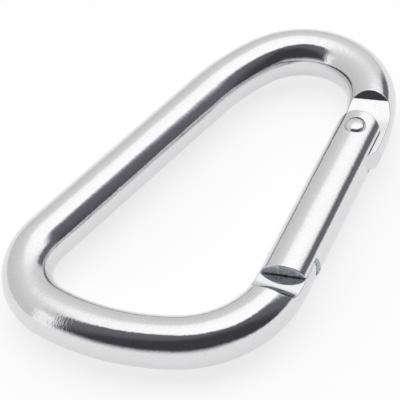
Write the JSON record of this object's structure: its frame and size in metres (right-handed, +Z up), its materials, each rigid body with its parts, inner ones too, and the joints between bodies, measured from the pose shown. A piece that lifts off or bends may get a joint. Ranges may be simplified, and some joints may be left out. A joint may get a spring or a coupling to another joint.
{
  "type": "snap carabiner",
  "caption": "Snap carabiner: a D of bent round rod closed by a straight, sprung gate that swings inward on a rivet.",
  "frame": {"origin": "middle of the D's footprint, on the surface that the carabiner lies on, which its lower rivet head touches", "axes": "+Y along the straight spine, towards the gate's hinge end; +X from the spine towards the gate; +Z up, square to the D"},
  "size_m": [0.044, 0.0762, 0.0089],
  "materials": {
    "frame": "polished",
    "gate": "polished",
    "rivet": "satin, pressed",
    "spring": "drawn wire",
    "plunger": "turned"
  },
  "bodies": {
    "frame": {"frame": "frame"},
    "gate": {"gate": "gate", "hinge_rivet": "rivet", "gate_spring": "spring"},
    "plunger": {"spring_plunger": "plunger"}
  },
  "joints": [
    {"name": "gate_hinge", "type": "hinge", "parent": "frame", "child": "gate", "pos_m": [0.00828, 0.02053, 0.00445], "axis": [0, 0, -1], "range_deg": [0, 28], "stiffness_Nm_per_rad": 0.07, "springref_deg": -40.11},
    {"name": "plunger_slide", "type": "slide", "parent": "gate", "child": "plunger", "axis": [0.2924, -0.9563, 0], "range_m": [0, 0.0014], "deforming": ["gate_spring"]}
  ],
  "couplings": [
    {"joint": "plunger_slide", "follows": "gate_hinge", "m_per_rad": 0.0028648}
  ]
}
